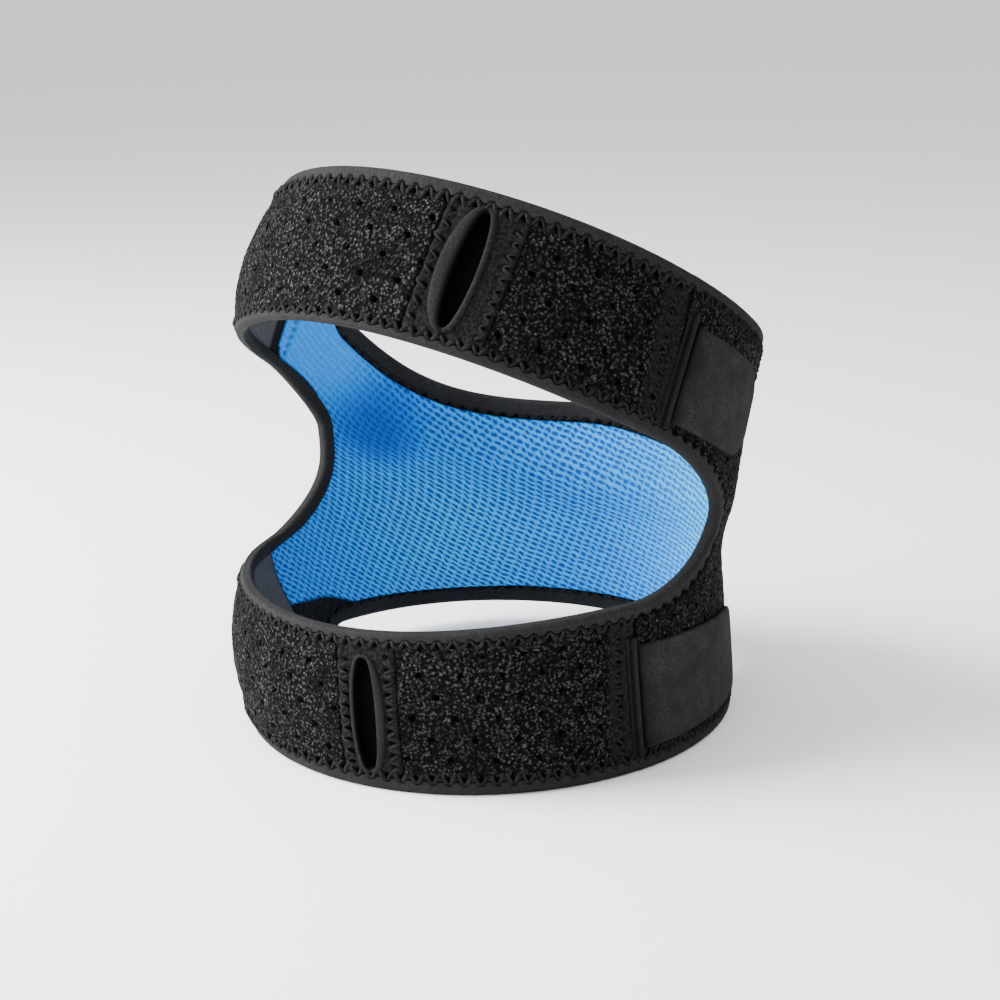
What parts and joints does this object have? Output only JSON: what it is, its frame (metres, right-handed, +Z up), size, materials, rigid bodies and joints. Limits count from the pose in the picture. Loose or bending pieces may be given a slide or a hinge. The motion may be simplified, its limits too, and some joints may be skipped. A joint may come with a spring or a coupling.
{
  "type": "patella strap",
  "caption": "Padded sling behind the knee with perforated loop straps above and below the kneecap, blue mesh lining, hook tabs and slits.",
  "frame": {"origin": "on the floor plane under the middle of the whole outline", "axes": "+Z up along the wearer's leg, +Y toward the pad behind the knee, -Y toward the kneecap side, +X toward the hook tabs"},
  "size_m": [0.1558, 0.1568, 0.1677],
  "materials": {
    "loop_pile": "matte black loop pile with fine perforations",
    "mesh_lining": "blue knitted mesh",
    "strap_lining": "smooth dark grey knit",
    "bound_edge": "matte black stretch tape",
    "slit_lip": "matte black folded cloth",
    "hook_tab": "smooth dark grey brushed cloth"
  },
  "bodies": {
    "root": {"pad_shell": "loop_pile", "pad_lining": "mesh_lining", "pad_top_binding": "bound_edge", "pad_bottom_binding": "bound_edge", "left_opening_binding": "bound_edge", "right_opening_binding": "bound_edge", "upper_strap": "loop_pile", "upper_strap_lining": "strap_lining", "upper_strap_top_binding": "bound_edge", "upper_strap_bottom_binding": "bound_edge", "upper_slit_lip": "slit_lip", "upper_tab_lip": "slit_lip", "upper_hook_tab": "hook_tab", "lower_strap": "loop_pile", "lower_strap_lining": "strap_lining", "lower_strap_top_binding": "bound_edge", "lower_strap_bottom_binding": "bound_edge", "lower_slit_lip": "slit_lip", "lower_tab_lip": "slit_lip", "lower_hook_tab": "hook_tab"}
  },
  "joints": []
}
